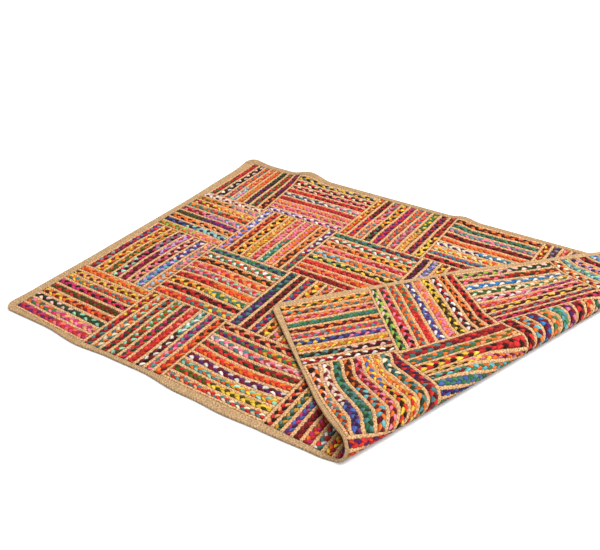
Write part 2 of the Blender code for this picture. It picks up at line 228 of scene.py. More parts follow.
# The rag plaits of each panel. A panel whose column and row add up to an even number has its plaits
# along the rug, listed from the near one, and any other has them across it, listed from the left.
# A plait is its three strands' cloths, and after > the cloths that they go on in, if they change.
PLAITS = {
    (1, 1): """
    magenta purple red > magenta salmon red
    pink green orange > pink peach magenta
    bottle black blush > bottle bottle mint
    yellow maroon orange > orange scarlet maroon
    olive olive red > olive brick olive
    magenta black magenta > magenta black red
    teal orange yellow > orange red teal
    yellow maroon peach > yellow maroon ochre
    orange scarlet orange > orange scarlet ochre
    """,
    (1, 2): """
    red grey maroon > red purple grey
    yellow orange maroon > yellow brick orange
    olive orange leaf > orange olive ochre
    black mint magenta > grey magenta black
    maroon magenta maroon > magenta lilac lilac
    black pink peach > black blush red
    blue cyan lilac > purple blue blush
    peach sky orange > pink peach grey
    """,
    (1, 3): """
    leaf lime orange > peach orange pink
    navy blue black > mint sky navy
    orange black orange > orange black peach
    olive olive bottle > purple magenta purple
    red maroon pink > lilac pink teal
    teal orange green > orange olive red
    yellow red maroon > yellow orange peach
    olive orange ochre > pink grey peach
    white maroon blush > blush maroon cream
    """,
    (1, 4): """
    red green brick > red brick red
    black white black > black blush black
    red teal salmon > red teal orange
    lilac pink mint > orange scarlet peach
    orange ochre orange > orange scarlet orange
    maroon purple bottle > bottle bottle black
    brick green maroon > brick leaf red
    black orange maroon > maroon purple red
    """,
    (2, 1): """
    maroon red teal > yellow maroon red
    teal orange cream > orange mint red
    bottle maroon red > teal red brown
    red mint olive > mint scarlet leaf
    magenta bottle scarlet > magenta bottle maroon
    red scarlet red > salmon red red
    black white maroon > white teal mint
    scarlet teal pink > magenta teal purple
    orange brick scarlet > orange scarlet brown
    """,
    (2, 2): """
    scarlet orange red > yellow teal red
    brick black red > red black maroon
    yellow orange brown > green teal yellow
    red scarlet brick > orange scarlet orange
    red teal pink > pink mint red
    orange pink red > peach orange red
    orange black brown > orange olive black
    green white red > green white scarlet
    teal navy green > green teal navy
    """,
    (2, 3): """
    lilac orange blue > lilac white blue
    brick orange maroon > maroon orange red
    yellow black orange > yellow orange black
    yellow ochre orange > yellow peach orange
    red orange pink > pink peach red
    teal mint green > pink salmon pink
    orange pink peach > orange pink orange
    brown orange brown > brown peach orange
    red green purple > purple white purple
    """,
    (2, 4): """
    purple white lilac > purple white pink
    pink magenta orange > pink magenta ochre
    orange peach pink > orange pink salmon
    red brick red > red red brick
    purple white teal > pink teal white
    red brick scarlet > red maroon red
    black red blush > red black pink
    red black cream
    yellow black grey > black yellow grey
    """,
    (3, 1): """
    teal red peach > red teal cream
    olive leaf red > yellow olive yellow
    orange teal mint > yellow mint orange
    purple maroon white
    orange scarlet red > scarlet orange scarlet
    red red bottle > olive red maroon
    pink blush teal > pink red blush
    green purple red > green ochre red
    black red peach
    """,
    (3, 2): """
    navy purple teal > navy teal bottle
    brick black maroon > brick black brown
    teal purple red > teal red purple
    yellow orange brown > yellow brown orange
    olive orange pink > olive pink orange
    red yellow scarlet > red ochre scarlet
    magenta teal pink > pink teal red
    yellow black olive > yellow olive black
    red orange brick > orange scarlet brick
    """,
    (3, 3): """
    brick maroon red > maroon red brick
    orange red salmon > orange red orange
    red scarlet red > red red brick
    green black yellow > olive black yellow
    orange teal sky > peach teal orange
    pink red salmon > red pink red
    orange brown peach > yellow black orange
    red green white
    teal green bottle > teal brick navy
    """,
    (3, 4): """
    orange red ochre > orange brick yellow
    purple red scarlet > maroon brick black
    salmon teal peach > brick pink grey
    maroon black green > yellow black orange
    purple magenta red
    orange teal red > orange teal scarlet
    red grey pink > red grey salmon
    yellow peach orange > green yellow leaf
    purple red black
    yellow black yellow > brick brown red
    """,
    (4, 1): """
    black red peach > black orange red
    bottle teal ochre
    purple blue magenta > magenta purple teal
    maroon brick maroon > black maroon red
    orange red magenta > orange magenta scarlet
    white teal red > white teal bottle
    yellow red orange > olive brown red
    purple red magenta > red purple red
    orange peach scarlet
    red purple scarlet > magenta purple red
    """,
    (4, 2): """
    red yellow teal > red yellow green
    orange black red > orange black peach
    teal green navy > teal cyan blue
    pink red magenta > red pink blush
    white black red > white maroon black
    orange scarlet ochre > orange peach yellow
    purple blue lilac > purple navy lilac
    green red leaf > olive red lime
    brick maroon pink > brick salmon red
    """,
    (4, 3): """
    black red maroon > black maroon purple
    grey blue lilac > lilac blue grey
    brown yellow orange > orange brown yellow
    red scarlet brick > red brick maroon
    red orange scarlet > red orange brick
    orange peach yellow > orange yellow peach
    green blue teal > green navy teal
    maroon pink red > pink teal magenta
    red orange yellow > red orange teal
    """,
    (4, 4): """
    red black brick > red black maroon
    teal azure red > teal azure maroon
    yellow orange cream > yellow scarlet peach
    purple white cream > teal white azure
    orange scarlet orange > orange orange scarlet
    brick maroon black > maroon brick black
    pink grey teal > grey pink teal
    teal bottle green
    black orange brown > black orange brick
    """,
    (5, 1): """
    brick orange teal > blush orange black
    purple blue navy > cream maroon blush
    bottle teal green > teal green bottle
    cyan maroon orange > brown orange brown
    maroon pink orange > maroon pink red
    black yellow scarlet > blue yellow orange
    yellow orange red > orange yellow peach
    teal orange bottle > teal cream bottle
    maroon red teal > maroon red navy
    """,
    (5, 2): """
    orange teal green > orange green teal
    green orange teal > orange green cyan
    navy blue purple > navy purple maroon
    teal green blue > orange leaf salmon
    cyan maroon green > cyan orange green
    yellow black peach > maroon pink orange
    yellow black red > red black red
    teal orange green > peach orange leaf
    red maroon teal > brick maroon red
    """,
    (5, 3): """
    maroon black red
    orange cyan ochre > orange cyan maroon
    purple azure maroon
    green orange peach
    bottle green orange > teal green cyan
    maroon pink magenta > maroon pink purple
    black maroon red > red black maroon
    orange red peach
    green peach bottle > green blush bottle
    """,
    (5, 4): """
    red yellow maroon
    teal navy maroon > navy grey maroon
    red pink orange
    white purple pink
    green red yellow > green red ochre
    black orange peach
    magenta red pink
    brick red maroon > red brick maroon
    teal orange bottle
    """,
    (6, 1): """
    white red maroon > white black maroon
    teal black bottle > maroon blush black
    orange yellow peach > orange yellow ochre
    yellow blue navy > purple blue pink
    teal pink red > orange teal magenta
    brown orange maroon
    green teal green > green green teal
    pink red orange > maroon pink orange
    orange maroon teal > orange teal peach
    yellow orange bottle > yellow bottle orange
    """,
    (6, 2): """
    green lime black > bottle lime blush
    black red pink > red bottle pink
    red teal orange > orange teal red
    red scarlet red > green red orange
    white blue purple > blue white purple
    pink orange pink > pink peach orange
    yellow black olive > yellow black yellow
    white brick black > white black red
    orange black brown > orange black orange
    red black brick > red black red
    """,
    (6, 3): """
    magenta black red
    maroon red grey
    yellow black maroon
    pink red orange > pink red black
    maroon pink white > pink magenta purple
    cream green olive > ochre cream green
    azure white azure > azure white grey
    red bottle pink > orange bottle brick
    lime bottle pink > blush bottle bottle
    """,
    (6, 4): """
    maroon orange cream
    teal mint sky > teal mint grey
    lilac black orange > lilac navy peach
    red maroon black > maroon red black
    blue cyan white
    maroon pink red
    yellow olive orange
    black red teal
    green orange brick
    """,
}

RAG_SEED = 7
LIGHT_SHARE = 0.65  # of a cloth's colour, so that it comes out as named under the stage's light
CHANGE_SPREAD = (0.34, 0.62)  # where strands change their cloth, as a share of the plait's length
LOBE_SPREAD = (0.74, 1.22)  # how unequal a strand's lobes are in brightness
MAP_SHIFT = 9.0  # how far strands are shifted in the map, so that no two have the same creases


# ---------------------------------------------------------------- where a flat point lies

def smooth_step(x):
    """0 below 0, 1 above 1, and a soft curve between."""
    x = np.clip(x, 0.0, 1.0)
    return x * x * (3 - 2 * x)


def along_table(table, x):
    """The second column of a two-column table at x, with soft curves between its rows."""
    stops, values = np.array(table).T
    row = np.clip(np.searchsorted(stops, x, side="right") - 1, 0, len(stops) - 2)
    share = smooth_step((x - stops[row]) / (stops[row + 1] - stops[row]))
    return values[row] + (values[row + 1] - values[row]) * share


def soft_hump(x, half_length):
    """1 in the middle, 0 at half_length to each side, level at both."""
    return np.cos(math.pi / 2 * np.clip(x / half_length, -1, 1)) ** 2


def ripple_height(u, v):
    """How far the rug stands off the floor at a flat point."""
    return sum(height * soft_hump(u - mid_u, half_u) * soft_hump(v - mid_v, half_v)
               for mid_u, mid_v, half_u, half_v, height in RIPPLES)


def roll_section(distance):
    """Position across the fold, height and heading, at a distance across it along the cloth."""
    turn = math.pi + ROLL_DIP
    arc = ROLL_RADIUS * turn
    top = ROLL_RADIUS * (1 - math.cos(turn))
    flap_height = THICKNESS + FLAP_CLEARANCE
    drop = top - flap_height - SETTLE_RADIUS * (1 - math.cos(ROLL_DIP))
    descent = drop / math.sin(ROLL_DIP)
    settle = SETTLE_RADIUS * ROLL_DIP
    past_roll = distance - ROLL_CENTRE
    past_arc = past_roll - arc
    past_descent = past_arc - descent

    across_arc_end = ROLL_CENTRE + ROLL_RADIUS * math.sin(turn)
    across_descent_end = across_arc_end - descent * math.cos(ROLL_DIP)
    angle = past_roll / ROLL_RADIUS
    left = ROLL_DIP - past_descent / SETTLE_RADIUS
    stretches = [past_roll <= 0, past_arc <= 0, past_descent <= 0, past_descent <= settle]
    across = np.select(stretches, [
        distance,
        ROLL_CENTRE + ROLL_RADIUS * np.sin(angle),
        across_arc_end - past_arc * math.cos(ROLL_DIP),
        across_descent_end - SETTLE_RADIUS * (math.sin(ROLL_DIP) - np.sin(left)),
    ], across_descent_end - SETTLE_RADIUS * math.sin(ROLL_DIP) - (past_descent - settle))
    height = np.select(stretches, [
        np.zeros_like(distance),
        ROLL_RADIUS * (1 - np.cos(angle)),
        top - past_arc * math.sin(ROLL_DIP),
        flap_height + SETTLE_RADIUS * (1 - np.cos(left)),
    ], flap_height)
    heading = np.select(stretches, [
        np.zeros_like(distance),
        angle,
        np.full_like(distance, turn),
        math.pi + left,
    ], math.pi)
    return across, height, heading


def lay(u, v, w):
    """World positions of the flat points u, v at heights w through the thickness, as rows."""
    lean_cos, lean_sin = math.cos(FOLD_ANGLE), math.sin(FOLD_ANGLE)
    across_fold = u * lean_cos - v * lean_sin
    along_fold = u * lean_sin + v * lean_cos
    across, height, heading = roll_section(across_fold)
    across = across - w * np.sin(heading)
    height = height + w * np.cos(heading)
    x = across * lean_cos + along_fold * lean_sin
    y = along_fold * lean_cos - across * lean_sin
    overhang = (y - RUG_WIDTH - SAG_START) / SAG_RUN
    sag = (THICKNESS + FLAP_CLEARANCE) * smooth_step(overhang)
    height = height - np.where(across_fold > ROLL_CENTRE, sag, 0.0)
    z = HALF + height + ripple_height(u, v)
    return np.stack([x, y, z], axis=-1) - np.array(ORIGIN)


# ---------------------------------------------------------------- panels

def panel_corner(column, row):
    """Flat position of the corner where two column edges and row edges cross, counted from 0."""
    corner = np.array([COLUMN_EDGES[column], ROW_EDGES[row]])
    for shifted_column, shifted_row, shift_u, shift_v in CORNER_SHIFTS:
        if (column, row) == (shifted_column, shifted_row):
            corner = corner + (shift_u, shift_v)
    return corner


def mean_length(first, second):
    """Mean length of two sides."""
    return (np.linalg.norm(first) + np.linalg.norm(second)) / 2


class Panel:
    """A four-sided panel of plaits, with places in it as metres along and across the plaits."""

    def __init__(self, column, row):
        self.column, self.row = column, row
        self.random = np.random.default_rng([RAG_SEED, column, row])
        self.corners = [panel_corner(column - 1, row - 1), panel_corner(column, row - 1),
                        panel_corner(column - 1, row), panel_corner(column, row)]
        near_left, near_right, far_left, far_right = self.corners
        along_rug = mean_length(near_right - near_left, far_right - far_left)
        across_rug = mean_length(far_left - near_left, far_right - near_right)
        self.along_rug = (column + row) % 2 == 0
        sides = (along_rug, across_rug) if self.along_rug else (across_rug, along_rug)
        self.length, self.width = sides
        self.plaits = PLAITS[column, row].strip().splitlines()
        widths = self.random.uniform(1 - STRIP_SPREAD, 1 + STRIP_SPREAD, len(self.plaits))
        widths = widths * WIDTHS.get((column, row), 1.0)
        shares = np.concatenate([[0.0], np.cumsum(widths)]) / widths.sum()
        self.seams = SIDE_BAND + shares * (self.width - 2 * SIDE_BAND)
        knots = round(self.length / WAVE_REACH) + 2
        self.waves = self.random.uniform(-STRIP_WAVE, STRIP_WAVE, (len(self.seams), knots))
        self.waves[[0, -1]] = 0.0
        self.start_bend, self.end_bend = BENDS.get((column, row), (0.0, 0.0))
        usual = self.random.uniform(-USUAL_SWAY, USUAL_SWAY, 2)
        self.bow, self.curl = SWAYS.get((column, row), usual)

    def seam(self, index, along):
        """Metres across the plaits to the middle of the jute beside plait number index."""
        place = along / WAVE_REACH
        row = np.clip(place.astype(int), 0, self.waves.shape[1] - 2)
        share = smooth_step(place - row)
        wave = self.waves[index]
        middle = self.seams[index] + wave[row] * (1 - share) + wave[row + 1] * share
        if index in (0, len(self.seams) - 1):
            return middle
        start_share = smooth_step(1 - along / BEND_REACH)
        end_share = smooth_step(1 - (self.length - along) / BEND_REACH)
        place = np.pi * along / self.length
        sway = (self.bow * np.sin(place) + self.curl * np.sin(2 * place)) * np.sin(
            np.pi * self.seams[index] / self.width)
        return middle + sway + self.start_bend * start_share + self.end_bend * end_share

    def lay(self, along, across, w):
        """World positions of points at metres along and across the plaits."""
        a, b = along / self.length, across / self.width
        if not self.along_rug:
            a, b = b, a
        near_left, near_right, far_left, far_right = self.corners
        a, b = a[..., None], b[..., None]
        near, far = near_left * (1 - a) + near_right * a, far_left * (1 - a) + far_right * a
        flat = near * (1 - b) + far * b
        return lay(flat[..., 0], flat[..., 1], w)


# ---------------------------------------------------------------- meshes

TOE, TOE_SLOPE, CURVE_SHIFT, CURVE_POWER = 0.04045, 12.92, 0.055, 2.4  # of the screen's curve


def linear(colour):
    """Screen colours as the linear ones that shaders take."""
    colour = np.asarray(colour, float)
    curve = ((colour + CURVE_SHIFT) / (1 + CURVE_SHIFT)) ** CURVE_POWER
    return np.where(colour <= TOE, colour / TOE_SLOPE, curve)


def tube_faces(stations, sides, start):
    """Four-sided faces of a closed tube, with capped ends, whose points come station by station."""
    station, side = np.meshgrid(np.arange(stations - 1), np.arange(sides), indexing="ij")
    here = start + station * sides + side
    beside = start + station * sides + (side + 1) % sides
    walls = np.stack([here, here + sides, beside + sides, beside], axis=-1).reshape(-1, 4)
    k = np.arange(sides // 2 - 1)
    cap = start + np.stack([k, k + 1, sides - 2 - k, sides - 1 - k], axis=-1)
    return np.concatenate([walls, cap, cap[:, ::-1] + (stations - 1) * sides])


def tube_map(along, around):
    """Map corners for tube_faces: along and around are a tube's map lines, around one longer."""
    stations, sides = len(along), len(around) - 1
    station, side = np.meshgrid(np.arange(stations - 1), np.arange(sides), indexing="ij")
    corners = [(station, side), (station + 1, side), (station + 1, side + 1), (station, side + 1)]
    walls = np.stack([np.stack([along[i], around[j]], axis=-1) for i, j in corners], axis=2)
    caps = []
    k = np.arange(sides // 2 - 1)
    for end in (0, stations - 1):
        cap = np.stack([k, k + 1, sides - 2 - k, sides - 1 - k], axis=-1)
        cap = cap if end == 0 else cap[:, ::-1]
        caps.append(np.stack([np.full(cap.shape, along[end]), around[cap]], axis=-1))
    return np.concatenate([walls.reshape(-1, 4, 2), *caps])


def make_piece(name, points, faces, corners_map, material, tints=None):
    """A mesh object, facing outwards, with a map named plait and, if given, its points' colours."""
    a, b, c, d = (points[faces[:, k]] for k in range(4))
    if (a * (np.cross(b, c) + np.cross(c, d))).sum() < 0:
        faces, corners_map = faces[:, ::-1], corners_map[:, ::-1]
    mesh = bpy.data.meshes.new(name)
    mesh.vertices.add(len(points))
    mesh.vertices.foreach_set("co", points.astype(np.float32).ravel())
    mesh.loops.add(faces.size)
    mesh.loops.foreach_set("vertex_index", faces.astype(np.int32).ravel())
    mesh.polygons.add(len(faces))
    mesh.polygons.foreach_set("loop_start", np.arange(0, faces.size, 4, dtype=np.int32))
    mesh.update(calc_edges=True)
    mesh.shade_smooth()
    layer = mesh.uv_layers.new(name="plait")
    layer.data.foreach_set("uv", corners_map.astype(np.float32).ravel())
    if tints is not None:
        attribute = mesh.color_attributes.new("tint", "FLOAT_COLOR", "POINT")
        colours = np.c_[tints, np.ones(len(tints))]
        attribute.data.foreach_set("color", colours.astype(np.float32).ravel())
    mesh.materials.append(material)
    thing = bpy.data.objects.new(name, mesh)
    bpy.context.scene.collection.objects.link(thing)
    return thing


# ---------------------------------------------------------------- rag plaits

def wavering(random, distance, share, reach):
    """1 plus or minus up to a share, smooth along a distance, with a random value every reach."""
    knots = np.arange(0, distance.max() + 2 * reach, reach)
    values = random.uniform(-1, 1, len(knots))
    row = np.clip((distance / reach).astype(int), 0, len(knots) - 2)
    step = smooth_step(distance / reach - row)
    return 1 + share * (values[row] * (1 - step) + values[row + 1] * step)


def strand_tints(random, distance, turn, length, cloths):
    """Colour along a strand, which is sewn on from one cloth to the next somewhere midway."""
    change = length * random.uniform(*CHANGE_SPREAD)
    first, second = (linear(CLOTH[name]) * LIGHT_SHARE for name in cloths)
    cloth = np.where((distance > change)[:, None], second, first)
    lobe = (turn / np.pi).astype(int)
    lobes = random.uniform(*LOBE_SPREAD, lobe.max() + 1)
    brightness = lobes[lobe] * wavering(random, distance, *BRIGHTNESS_WAVE)
    return np.clip(cloth * brightness[:, None], 0.0, 1.0)


def plait_strands(panel, index, cloths):
    """The three strands of a flat plait, each as its rings of points and its colours."""
    random = panel.random
    period = PLAIT_PERIOD * random.uniform(*PERIOD_SPREAD)
    start, end = END_INSET, panel.length - END_INSET
    count = round((end - start) / period * STATIONS_PER_PERIOD) + 1
    distance = np.linspace(start, end, count)
    near_seam, far_seam = panel.seam(index, distance), panel.seam(index + 1, distance)
    centre, half_width = (near_seam + far_seam) / 2, (far_seam - near_seam) / 2 - RAG_REACH
    half_width = half_width * random.uniform(*FILL_SPREAD)
    half_width = half_width * wavering(random, distance, *FILL_WAVE)
    first_turn = random.uniform(0, 2 * np.pi)
    fade = smooth_step(np.minimum(distance - start, end - distance) / END_RUN)
    narrowing = END_SHARE + (1 - END_SHARE) * fade
    angle = 2 * np.pi * (np.arange(STRAND_SIDES) + 0.5) / STRAND_SIDES
    swell = np.sign(np.sin(angle)) * np.abs(np.sin(angle)) ** STRAND_FLATNESS
    slope_turn = 2 * np.pi / period
    strands = []
    for k in range(3):
        turn = 2 * np.pi * (distance / period + k / 3) + first_turn
        breadth = half_width * STRAND_SHARE * random.uniform(*STRAND_SPREAD)
        breadth = breadth * wavering(random, distance, *BREADTH_WAVE)
        reach = half_width * (1 - STRAND_SHARE) * narrowing
        depth = STRAND_HALF_THICKNESS * wavering(random, distance, *DEPTH_WAVE)
        side, height = reach * np.sin(turn), STRAND_LIFT * np.sin(2 * turn)
        side_slope = reach * slope_turn * np.cos(turn)
        rise = 2 * STRAND_LIFT * slope_turn * np.cos(2 * turn)
        forward = np.stack([np.ones(count), side_slope, rise], axis=-1)
        forward /= np.linalg.norm(forward, axis=-1, keepdims=True)
        sideways = np.stack([-side_slope, np.ones(count), np.zeros(count)], axis=-1)
        sideways /= np.linalg.norm(sideways, axis=-1, keepdims=True)
        upward = np.cross(forward, sideways)
        path = np.stack([distance, centre + side, height], axis=-1)
        rings = (path[:, None]
                 + (breadth * narrowing)[:, None, None] * np.cos(angle)[:, None] * sideways[:, None]
                 + depth[:, None, None] * swell[:, None] * upward[:, None])
        rings[..., 0] = np.clip(rings[..., 0], END_INSET / 2, panel.length - END_INSET / 2)
        rings[..., 2] = np.clip(rings[..., 2], -HALF - PROUD, HALF + PROUD)
        own_cloths = (cloths[0][k], cloths[-1][k])
        tints = strand_tints(random, distance, turn, panel.length, own_cloths)
        strands.append((rings, tints, distance))
    return strands


def make_rag_plaits(panel, material):
    """All rag plaits of a panel, as one piece."""
    points, faces, corners, tints = [], [], [], []
    total = 0
    girth = np.linspace(0, 1, STRAND_SIDES + 1)
    for index, text in enumerate(panel.plaits):
        cloths = [words.split() for words in text.split(">")]
        for rings, colours, distance in plait_strands(panel, index, cloths):
            laid = panel.lay(rings[..., 0], rings[..., 1], rings[..., 2])
            laid[..., 2] = np.maximum(laid[..., 2], FLOOR_GAP)
            points.append(laid.reshape(-1, 3))
            tints.append(np.repeat(colours, STRAND_SIDES, axis=0))
            faces.append(tube_faces(len(rings), STRAND_SIDES, total))
            map_start = panel.random.uniform(0, MAP_SHIFT)
            corners.append(tube_map(distance + map_start, girth + index))
            total += len(points[-1])
    points, faces, corners, tints = map(np.concatenate, (points, faces, corners, tints))
    name = f"rag_plaits_{panel.column}_{panel.row}"
    return make_piece(name, points, faces, corners, material, tints)


# ---------------------------------------------------------------- jute

def jute_profile(panel, along):
    """Lines along a panel: metres across at each place along, half-thickness, place across jute."""
    zero = np.zeros_like(along)
    lines = [(zero, JUTE_SHOULDER, -EDGE_PLACE)]
    for index in range(len(panel.plaits) + 1):
        middle = panel.seam(index, along)
        if index > 0:
            lines += [
                (middle - JUTE_FOOT_REACH, GROUND_HALF, -1.0),
                (middle - JUTE_SHOULDER_REACH, JUTE_SHOULDER, -0.5),
            ]
        lines.append((middle, JUTE_TOP, 0.0))
        if index < len(panel.plaits):
            lines += [
                (middle + JUTE_SHOULDER_REACH, JUTE_SHOULDER, 0.5),
                (middle + JUTE_FOOT_REACH, GROUND_HALF, 1.0),
            ]
    lines.append((zero + panel.width, JUTE_SHOULDER, EDGE_PLACE))
    return lines


def make_jute_ground(panel, material):
    """The jute between a panel's rag plaits and under them, as one closed sheet."""
    count = round(panel.length / GROUND_STEP) + 1
    along = np.linspace(0, panel.length, count)
    across, half, place = zip(*jute_profile(panel, along))
    across = np.stack(across, axis=1)
    half, place = np.array(half), np.array(place)
    ring_across = np.concatenate([across, across[:, ::-1]], axis=1)
    ring_height = np.concatenate([half, -half[::-1]])
    ring_place = np.concatenate([place, place[::-1], place[:1]])
    grid_along = np.repeat(along[:, None], len(ring_height), axis=1)
    points = panel.lay(grid_along, ring_across, np.repeat(ring_height[None], count, axis=0))
    faces = tube_faces(count, len(ring_height), 0)
    corners = tube_map(along / JUTE_PITCH, ring_place)
    name = f"jute_ground_{panel.column}_{panel.row}"
    return make_piece(name, points.reshape(-1, 3), faces, corners, material)


def outer_point(side, distance):
    """Flat position on the outer edge, at a distance along one of the four sides."""
    if side == "near":
        return np.array([distance, -along_table(NEAR_OUTLINE, distance)])
    if side == "far":
        return np.array([distance, RUG_WIDTH + along_table(FAR_OUTLINE, distance)])
    if side == "left":
        return np.array([-along_table(LEFT_OUTLINE, distance), distance])
    return np.array([RUG_LENGTH + along_table(RIGHT_OUTLINE, distance), distance])


def border_lines():
    """Lines across the border, outer end and inner end, in order round the rug."""
    columns, rows = len(COLUMN_EDGES) - 1, len(ROW_EDGES) - 1
    sides = (
        ("near", 0, [panel_corner(k, 0) for k in range(columns + 1)]),
        ("right", 1, [panel_corner(columns, k) for k in range(rows + 1)]),
        ("far", 0, [panel_corner(k, rows) for k in range(columns, -1, -1)]),
        ("left", 1, [panel_corner(0, k) for k in range(rows, -1, -1)]),
    )
    lines = []
    for number, (side, way, corners) in enumerate(sides):
        side_before = sides[number - 1][0]
        side_after = sides[(number + 1) % len(sides)][0]
        for index, (start, end) in enumerate(zip(corners, corners[1:])):
            heading = (end - start) / np.linalg.norm(end - start)
            first, last = index == 0, index == len(corners) - 2
            if first:
                start = start + heading * straight_reach(start, side_before, way)
            if last:
                end = end - heading * straight_reach(end, side_after, way)
            steps = round(np.linalg.norm(end - start) / BORDER_STEP)
            for step in range(0 if first else 1, steps + 1):
                inner = start + (end - start) * step / steps
                lines.append((outer_point(side, inner[way]), inner))
        lines += corner_lines(lines[-1][0], corners[-1], heading, side, side_after, way)
    return lines


def straight_reach(inner_corner, next_side, way):
    """How far along a side from its inner corner the outer edge starts to turn to the next."""
    edge = outer_point(next_side, inner_corner[1 - way])
    return max(CORNER_RADIUS - abs(edge[way] - inner_corner[way]), 0.0)


def corner_lines(start, inner_corner, heading, side, side_after, way):
    """Lines that turn a rounded outer corner, fanned from the square inner corner."""
    turned = np.array([-heading[1], heading[0]])
    before = straight_reach(inner_corner, side_after, way)
    after = straight_reach(inner_corner, side, 1 - way)
    steps = round(math.pi / 2 * CORNER_RADIUS / BORDER_STEP)
    lines = []
    for step in range(1, steps):
        part = step / steps
        angle = math.pi / 2 * part
        outer = start + CORNER_RADIUS * (heading * math.sin(angle) + turned * (1 - math.cos(angle)))
        along, beside = min(2 * part, 1.0), max(2 * part - 1, 0.0)
        inner = inner_corner - heading * before * (1 - along) + turned * after * beside
        lines.append((outer, inner))
    return lines


# Across the border from its outer edge: share of its width, half-thickness, place across a round
BORDER_SECTION = (
    (0.00, 0.0016, -0.70),
    (0.03, 0.0028, -0.62),
    (0.11, 0.0038, -0.40),
    (0.25, 0.0041, 0.00),
    (0.39, 0.0038, 0.40),
    (0.47, 0.0034, 0.60),
    (0.50, 0.0032, 0.66),
    (0.53, 0.0034, 0.60),
    (0.61, 0.0038, 0.40),
    (0.75, 0.0041, 0.00),
    (0.89, 0.0037, -0.40),
    (0.97, 0.0028, -0.62),
    (1.00, 0.0018, -0.70),
)


def make_border(material):
    """The rounds of jute plait sewn round the rug, as one closed ring."""
    lines = border_lines()
    outer, inner = np.array(lines + lines[:1]).transpose(1, 0, 2)
    share, half, place = np.array(BORDER_SECTION).T
    ring_share = np.concatenate([share, share[::-1]])
    ring_height = np.concatenate([half, -half[::-1]])
    ring_place = np.concatenate([place, place[::-1], place[:1]])
    flat = outer[:, None] + (inner - outer)[:, None] * ring_share[None, :, None]
    points = lay(flat[..., 0], flat[..., 1], np.repeat(ring_height[None], len(flat), axis=0))
    middle = (outer + inner) / 2
    steps = np.linalg.norm(np.diff(middle, axis=0), axis=-1)
    along = np.concatenate([[0.0], np.cumsum(steps)])
    sides = len(ring_share)
    walls = (len(flat) - 1) * sides
    faces = tube_faces(len(flat), sides, 0)[:walls] % walls
    corners = tube_map(along / BORDER_PITCH, ring_place)[:walls]
    u, v = flat[:-1, :, 0], flat[:-1, :, 1]
    # Painted light makes the border paler along the rug, and painted shade darker at its far side
    painted_light_and_shade = (1 + BORDER_PAINTED_LIGHT_SHARE * smooth_step((u - BORDER_PAINTED_LIGHT_START) / BORDER_PAINTED_LIGHT_RUN)
                - BORDER_PAINTED_SHADE_SHARE * smooth_step((v - BORDER_PAINTED_SHADE_START) / BORDER_PAINTED_SHADE_RUN))
    tints = np.repeat(painted_light_and_shade.reshape(-1, 1), 3, axis=1)
    return make_piece("jute_border", points[:-1].reshape(-1, 3), faces, corners, material, tints)


# ---------------------------------------------------------------- materials

# Painted shade in crevices and painted light in the open: how near the things are that shade
# them, and the brightness from the least open to the most open
PAINTED_SHADE_REACH = 0.050
PAINTED_SHADE_SAMPLES = 8
PAINTED_SHADE_RANGE, PAINTED_SHADE_LEVELS = (0.10, 0.90), (0.20, 1.10)
GLOSS = 0.08

# Rag: creases run along a strand and threads across it, as noise that is stretched along the map
CREASE_STRETCH, CREASE_DETAIL = (75.0, 6.0, 1.0), 3.0
THREAD_STRETCH, THREAD_DETAIL = (900.0, 24.0, 1.0), 1.0
THREAD_HEIGHT = 0.12  # of the creases'
CREASE_PAINTED_SHADE_GAIN, CREASE_PAINTED_SHADE_START = 2.2, -0.08  # painted shade and highlight along the creases, from their noise
PAINTED_TOP_LIGHT, PAINTED_SIDE_SHADE, PAINTED_SIDE_SHADE_POWER = 1.06, -0.55, 3.0  # painted shade on a strand's sides and painted light on its top
RAG_BUMP, RAG_ROUGHNESS = (0.8, 0.0020), 0.85
RAG_SHEEN, SHEEN_ROUGHNESS = 0.03, 0.5

# Jute: noise makes strands stray from their slant, and makes fibres, paler patches and flecks
STRAND_SLANT = -0.8
STRAY_SCALE, STRAY_DETAIL, STRAY_SHARE = 1.1, 2.0, 0.9
# Lobes of the jute's strands, and how much painted shade darkens it between them
LOBE_POWER, PAINTED_GAP_SHADE_SHARE = 0.6, 0.50
FIBRE_STRETCH, FIBRE_DETAIL = (8.0, 1.6, 0.5), 5.0
FIBRE_RANGE, FIBRE_HEIGHT = (0.30, 0.70), 0.5
PATCH_SCALE, PATCH_DETAIL = 0.3, 2.0
PATCH_RANGE, PATCH_SHARE = (0.35, 0.75), 0.6
FOOT_RANGE, FOOT_SHARE = (0.75, 1.00), 0.8
FLECK_SCALE, FLECK_DETAIL, FLECK_RANGE = 1.7, 3.0, (0.36, 0.64)
SEAM_MOTTLING, BORDER_MOTTLING = 0.50, 0.30  # how much flecks differ in brightness
JUTE_BUMP, JUTE_ROUGHNESS = (0.6, 0.0010), 0.9

SHARE_INPUT, FIRST_COLOUR_INPUT, SECOND_COLOUR_INPUT = 0, 6, 7  # of a node that mixes colours


